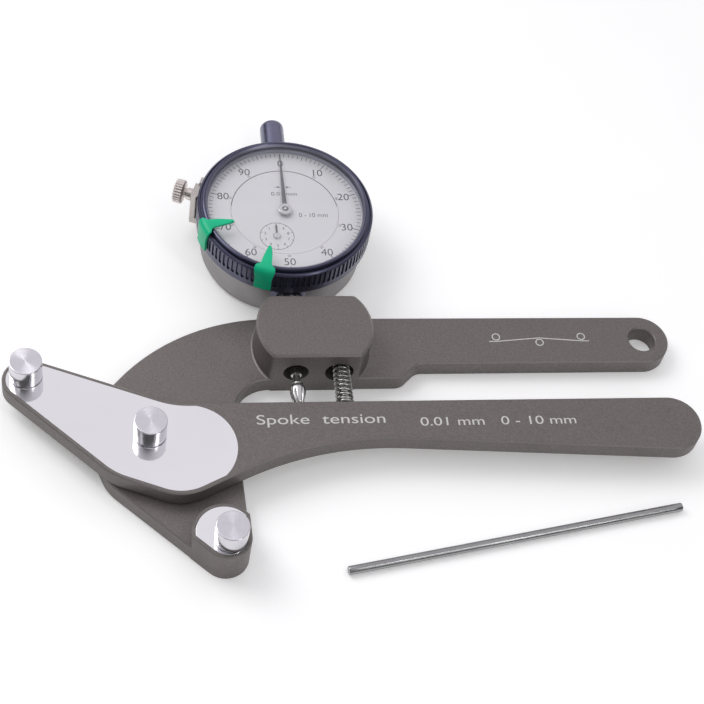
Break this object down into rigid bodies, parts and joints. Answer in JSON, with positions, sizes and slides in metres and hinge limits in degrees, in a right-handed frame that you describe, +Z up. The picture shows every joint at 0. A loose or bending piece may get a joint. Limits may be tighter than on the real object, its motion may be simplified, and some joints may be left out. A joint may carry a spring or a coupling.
{
  "type": "spoke tensiometer",
  "caption": "Hand-squeezed tension gauge: two crossing arms, three anvil pins, a return spring and a dial indicator with rotating bezel, plus a straight calibration rod.",
  "frame": {"origin": "centre of the pivot pin's lower end, on the surface the tool lies on", "axes": "+X along the handles away from the pivot, +Y towards the dial, +Z up out of the dial's face"},
  "size_m": [0.2189, 0.1723, 0.0254],
  "materials": {
    "arm_metal": "gunmetal anodised, bead blasted, satin",
    "wear_plate": "mirror polished",
    "pin_chrome": "polished, tops turned",
    "bright_steel": "turned and ground",
    "dark_steel": "blackened",
    "spring_steel": "drawn wire",
    "bezel_navy": "gloss navy",
    "cap_navy": "gloss navy",
    "case_silver": "satin silver",
    "dial_silver": "fine satin silver with dark scale",
    "pointer_dark": "matt dark grey",
    "hub_silver": "turned, polished",
    "crystal_clear": "clear",
    "seat_black": "matt black",
    "marker_green": "gloss emerald",
    "bracket_steel": "nickel plated",
    "screw_nickel": "nickel plated",
    "brass": "turned brass",
    "bronze": "sintered bronze",
    "rod_steel": "ground"
  },
  "bodies": {
    "frame": {"rear_arm": "arm_metal", "rear_wear_plate": "wear_plate", "rear_tip_pin": "pin_chrome", "rear_tip_screw": "dark_steel", "pivot_pin": "pin_chrome", "thrust_washer": "bronze", "travel_stop_pin": "bright_steel", "stem_clamp_screw": "dark_steel", "dial_case": "case_silver", "back_cover": "case_silver", "back_cover_screws": "bright_steel", "stem": "bright_steel", "guide_rail": "brass", "upper_bush": "bright_steel", "spindle_cap": "cap_navy", "plunger_spring": "spring_steel", "lower_plate": "brass", "movement_pillars": "brass", "upper_plate": "brass", "movement_screws": "bright_steel", "pinion_bridge": "brass", "hairspring": "bronze", "dial_plate": "dial_silver", "bezel_snap_ring": "spring_steel", "clamp_bracket": "bracket_steel", "return_spring": "spring_steel"},
    "handle": {"front_arm": "arm_metal", "front_wear_plate": "wear_plate", "front_tip_pin": "pin_chrome", "front_tip_screw": "dark_steel", "pivot_bush": "bronze", "spring_guide_pin": "bright_steel"},
    "spindle": {"spindle": "bright_steel", "contact_point": "bright_steel", "spindle_guide_pin": "bright_steel"},
    "counter": {"rack_pinion": "bright_steel", "counter_wheel": "brass", "counter_pointer": "pointer_dark"},
    "pointer": {"centre_pinion": "bright_steel", "main_pointer": "pointer_dark", "pointer_cap": "hub_silver"},
    "take_up": {"take_up_wheel": "brass"},
    "bezel": {"bezel": "bezel_navy", "crystal": "crystal_clear", "crystal_seat_ring": "seat_black", "scale_ring": "dial_silver", "scale_retaining_ring": "seat_black"},
    "marker_1": {"limit_marker_1": "marker_green"},
    "marker_2": {"limit_marker_2": "marker_green"},
    "thumb_screw": {"clamp_screw": "screw_nickel"},
    "rod": {"calibration_rod": "rod_steel"}
  },
  "joints": [
    {"name": "handle_pivot", "type": "hinge", "parent": "frame", "child": "handle", "pos_m": [0, 0, 0.0095], "axis": [0, 0, 1], "range_deg": [0, 8], "stiffness_Nm_per_rad": 3.7, "springref_deg": -14.32, "deforming": ["return_spring"]},
    {"name": "spindle_slide", "type": "slide", "parent": "frame", "child": "spindle", "axis": [0, 1, 0], "range_m": [0, 0.0067], "deforming": ["plunger_spring"]},
    {"name": "counter_turn", "type": "hinge", "parent": "frame", "child": "counter", "pos_m": [0.0431, 0.07034, 0.0145], "axis": [0, 0, 1], "range_deg": [0, 240]},
    {"name": "pointer_turn", "type": "hinge", "parent": "frame", "child": "pointer", "pos_m": [0.0465, 0.0808, 0.0145], "axis": [0, 0, 1], "range_deg": [-2390, 0]},
    {"name": "take_up_turn", "type": "hinge", "parent": "frame", "child": "take_up", "pos_m": [0.0499, 0.09126, 0.0145], "axis": [0, 0, 1], "range_deg": [0, 240], "deforming": ["hairspring"]},
    {"name": "bezel_turn", "type": "hinge", "parent": "frame", "child": "bezel", "pos_m": [0.0465, 0.0808, 0.02], "axis": [0, 0, 1], "range_deg": [-5, 228]},
    {"name": "marker_1_turn", "type": "hinge", "parent": "bezel", "child": "marker_1", "pos_m": [0.0465, 0.0808, 0.02], "axis": [0, 0, 1], "range_deg": [-18, 18]},
    {"name": "marker_2_turn", "type": "hinge", "parent": "bezel", "child": "marker_2", "pos_m": [0.0465, 0.0808, 0.02], "axis": [0, 0, 1], "range_deg": [-18, 18]},
    {"name": "clamp_screw_turn", "type": "hinge", "parent": "frame", "child": "thumb_screw", "pos_m": [0.01559, 0.09236, 0.0158], "axis": [-0.9367, 0.3502, 0], "range_deg": [-45, 315]},
    {"name": "rod_lift", "type": "slide", "parent": "frame", "child": "rod", "axis": [0, 0, 1], "range_m": [0, 0.05]}
  ],
  "couplings": [
    {"joint": "spindle_slide", "follows": "handle_pivot", "m_per_rad": 0.0474},
    {"joint": "counter_turn", "follows": "handle_pivot", "ratio": 29.782},
    {"joint": "take_up_turn", "follows": "handle_pivot", "ratio": 29.782},
    {"joint": "pointer_turn", "follows": "handle_pivot", "ratio": -297.82}
  ]
}
